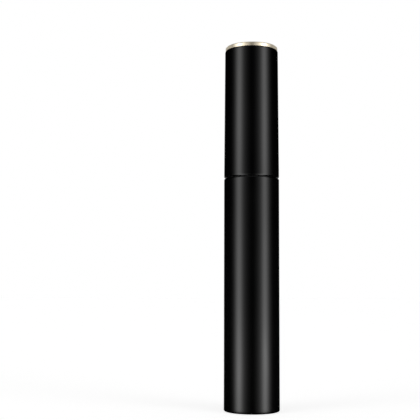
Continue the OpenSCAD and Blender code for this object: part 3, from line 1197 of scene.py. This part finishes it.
# least and most of what a random draw may give
bristleSpread = {
    "slot": (-0.4, 0.4),  # share of the step from one bristle to the next
    "height": (-0.05 * mm, 0.05 * mm),
    "thickness": (0.7, 1.05),
    "stray": (2.3 * mm, 3.2 * mm),  # how far a stray reaches
    "longest": 0.99,
}
rowTwist = 0.37  # steps that each row is turned from the one below
strayHalf = 0.07 * mm
strayBend = 4.0  # the row number that the strays carry, which isn't one that bends back
endBend = 0.55  # share of the first row's bend in the last and the middle row
waverScale = 420.0  # noise scales, for the slow waver and for the lumps
lumpScale = 1900.0

bristleShape = {
    "thinning": 1.3,
    "tipFrom": 0.84,
    "tipShare": 0.45,
}

coatCrease = 70.0
coatSleeve = {
    "radius": 0.84,
    "rings": 120,
    "inset": 0.25,
}


def randomValue(tree, seed, low, high, salt):
    # the salt keeps one draw apart from the next
    inputs = {"Seed": calc(tree, "ADD", seed, float(salt))}
    node = addNode(tree, "FunctionNodeRandomValue", inputs, data_type="FLOAT")
    plug(tree, low, node.inputs[2])
    plug(tree, high, node.inputs[3])
    return node.outputs[1]


def store(tree, geometry, name, value):
    inputs = {"Geometry": geometry, "Name": name, "Value": value}
    kind = {"data_type": "FLOAT", "domain": "POINT"}
    return addNode(tree, "GeometryNodeStoreNamedAttribute", inputs, **kind).outputs[0]


def oneBristle(tree, sides, points, thinTo):
    # unit length along +X, unit half thickness at its root
    shape = bristleShape
    line = addNode(tree, "GeometryNodeCurvePrimitiveLine", {"Start": (0, 0, 0), "End": (1, 0, 0)}).outputs[0]
    line = addNode(tree, "GeometryNodeResampleCurve", {"Curve": line, "Count": points}).outputs[0]
    along = addNode(tree, "GeometryNodeSplineParameter").outputs["Factor"]
    line = store(tree, line, "along", along)
    waist = calc(tree, "POWER", inverted(tree, along), shape["thinning"])
    thick = calc(tree, "MULTIPLY_ADD", waist, 1 - thinTo, thinTo)
    cap = remap(tree, along, shape["tipFrom"], 1.0, 1.0, shape["tipShare"], smooth=True)
    radius = calc(tree, "MULTIPLY", thick, cap)
    inputs = {"Resolution": sides, "Radius": 1.0}
    ring = addNode(tree, "GeometryNodeCurvePrimitiveCircle", inputs, mode="RADIUS").outputs[0]
    inputs = {"Curve": line, "Profile Curve": ring, "Scale": radius, "Fill Caps": True}
    return addNode(tree, "GeometryNodeCurveToMesh", inputs).outputs[0]


def plant(tree, size, count, row, angle, z, scale, bristle, salt):
    # one bristle on each of count points; scale is its reach, half width and half height
    spots = store(tree, pointsOf(tree, count), "row", row)
    inputs = {"Geometry": spots, "Position": polar(tree, angle, size["Root"], z)}
    spots = addNode(tree, "GeometryNodeSetPosition", inputs).outputs[0]
    least = calc(tree, "MULTIPLY", size["Lean"], -1.0)
    tilt = calc(tree, "RADIANS", randomValue(tree, size["Seed"], least, size["Lean"], salt))
    inputs = {"Points": spots, "Instance": bristle, "Rotation": combine(tree, y=tilt, z=angle)}
    inputs["Scale"] = combine(tree, *scale)
    planted = addNode(tree, "GeometryNodeInstanceOnPoints", inputs).outputs[0]
    return addNode(tree, "GeometryNodeRealizeInstances", {0: planted}).outputs[0]


def stored(tree, name):
    return addNode(tree, "GeometryNodeInputNamedAttribute", {"Name": name}, data_type="FLOAT").outputs[0]


def plantRows(tree, size, pitch):
    seed, perRow = size["Seed"], size["Row Bristles"]
    index = addNode(tree, "GeometryNodeInputIndex").outputs[0]
    row = calc(tree, "FLOOR", calc(tree, "DIVIDE", calc(tree, "ADD", index, 0.5), perRow))
    jitter = randomValue(tree, seed, *bristleSpread["slot"], salt=1)
    twist = calc(tree, "MULTIPLY_ADD", row, rowTwist, jitter)
    slot = calc(tree, "ADD", calc(tree, "MODULO", index, perRow), twist)
    angle = calc(tree, "MULTIPLY", slot, calc(tree, "DIVIDE", 2 * math.pi, perRow))
    rowHeight = calc(tree, "MULTIPLY_ADD", row, pitch, size["First Row"])
    z = calc(tree, "ADD", rowHeight, randomValue(tree, seed, *bristleSpread["height"], salt=2))
    phase = calc(tree, "DIVIDE", calc(tree, "SUBTRACT", row, size["First Waist"]), size["Lobe Rows"])
    swing = calc(tree, "COSINE", calc(tree, "MULTIPLY", phase, 2 * math.pi))
    wave = calc(tree, "MULTIPLY_ADD", swing, 0.5, 0.5)
    rowRadius = calc(tree, "SUBTRACT", size["Brush Radius"], calc(tree, "MULTIPLY", wave, size["Waist Cut"]))
    share = randomValue(tree, seed, size["Shortest"], bristleSpread["longest"], salt=3)
    reach = calc(tree, "SUBTRACT", calc(tree, "MULTIPLY", rowRadius, share), size["Root"])
    thin = randomValue(tree, seed, *bristleSpread["thickness"], salt=4)
    halves = [calc(tree, "MULTIPLY", size[key], thin) for key in ("Half Width", "Half Height")]
    count = calc(tree, "MULTIPLY", size["Rows"], perRow)
    bristle = oneBristle(tree, sides=8, points=9, thinTo=0.4)
    return plant(tree, size, count, row, angle, z, (reach, *halves), bristle, salt=5)


def plantStrays(tree, size, pitch, rowSteps):
    seed = size["Seed"]
    row = randomValue(tree, seed, 0.0, rowSteps, salt=6)
    angle = randomValue(tree, seed, 0.0, 2 * math.pi, salt=7)
    z = calc(tree, "MULTIPLY_ADD", row, pitch, size["First Row"])
    reach = calc(tree, "SUBTRACT", randomValue(tree, seed, *bristleSpread["stray"], salt=8), size["Root"])
    scale = (reach, strayHalf, strayHalf)
    bristle = oneBristle(tree, sides=6, points=8, thinTo=0.5)
    return plant(tree, size, size["Strays"], strayBend, angle, z, scale, bristle, salt=9)


def brushTree(material, brushRadius, stemLow):
    sizes = dict(brushSet)
    sizes["Brush Radius"] = brushRadius * mm
    sizes["Stem"] = stemLow * mm
    tree, size = startTree("coatedBristles", sizes)
    rowSteps = calc(tree, "SUBTRACT", size["Rows"], 1.0)
    lastRow = calc(tree, "SUBTRACT", size["Stem"], size["Last Row Gap"])
    pitch = calc(tree, "DIVIDE", calc(tree, "SUBTRACT", lastRow, size["First Row"]), rowSteps)
    rows = plantRows(tree, size, pitch)
    strays = plantStrays(tree, size, pitch, rowSteps)
    coated = join(tree, size["Geometry"], rows, strays)

    # the end rows and the middle row bend back, and every bristle wavers and is lumpy
    curl = calc(tree, "POWER", stored(tree, "along"), 2.0)
    row = stored(tree, "row")
    isFirst = calc(tree, "LESS_THAN", row, 0.5)
    isLast = calc(tree, "GREATER_THAN", row, calc(tree, "SUBTRACT", rowSteps, 0.5))
    middle = calc(tree, "ADD", calc(tree, "ADD", size["First Waist"], size["Lobe Rows"]), 1.0)
    isMiddle = calc(tree, "COMPARE", row, middle, 0.4)
    bent = calc(tree, "ADD", isFirst, calc(tree, "MULTIPLY", calc(tree, "ADD", isLast, isMiddle), endBend))
    droop = calc(tree, "MULTIPLY", bent, size["Droop"])
    where = addNode(tree, "GeometryNodeInputPosition").outputs[0]
    inputs = {"Vector": where, "Scale": waverScale, "Detail": 1.0}
    slow = addNode(tree, "ShaderNodeTexNoise", inputs).outputs[0]
    wander = calc(tree, "MULTIPLY", calc(tree, "SUBTRACT", slow, noiseMiddle), size["Wander"])
    lift = calc(tree, "MULTIPLY", calc(tree, "ADD", droop, wander), curl)
    inputs = {"Vector": where, "Scale": lumpScale, "Detail": 2.0}
    rough = addNode(tree, "ShaderNodeTexNoise", inputs).outputs["Color"]
    centred = vectorCalc(tree, "SUBTRACT", rough, (noiseMiddle, noiseMiddle, noiseMiddle))
    inputs = {0: centred, "Scale": size["Lumps"]}
    lumps = addNode(tree, "ShaderNodeVectorMath", inputs, operation="SCALE").outputs[0]
    offset = vectorCalc(tree, "ADD", lumps, combine(tree, z=lift))
    shaped = addNode(tree, "GeometryNodeSetPosition", {"Geometry": coated, "Offset": offset}).outputs[0]
    endTree(tree, shaped, material)
    return tree, sizes


def makeBristles(coat):
    s = coatSleeve
    radius, low, high = span("brush_bristles")
    inner = coreSet["rod"]
    start, length = low + s["inset"], high - low - 2 * s["inset"]
    sleeve = [(s["radius"], start + length * n / s["rings"]) for n in range(s["rings"] + 1)]
    bristles = lathe("brushBristles", [(inner, low), *sleeve, (inner, high)], closed=True, turns=48)
    tree, sizes = brushTree(coat, radius, high)
    growNodes(bristles, tree, sizes, angle=coatCrease)
    finishPiece(bristles, coat, "brush_bristles")


makeCamera()
makeFloor()
makeStudio()
print("camera, floor and light are set")

lacquer = makeLacquer()
moulded = makeMoulded()
makeSleeve(lacquer)
makeBasePlug(moulded)
makeVial(makeBottlePlastic())
makeCollar(moulded)
makeWiper(makeWiperRubber())
makeWasher(makeFoam())
print("the tube, its bottle and its wiper are made")

makeShell(lacquer)
makeInnerCap(moulded)
makeEndPlug(moulded)
makePlate(makeGold())
makeStem(makeStemPlastic())
makeCore(makeCoated("coatedCore"))
makeBristles(makeCoated("coatedBristle"))
print("the closure, its stem and its brush are made")
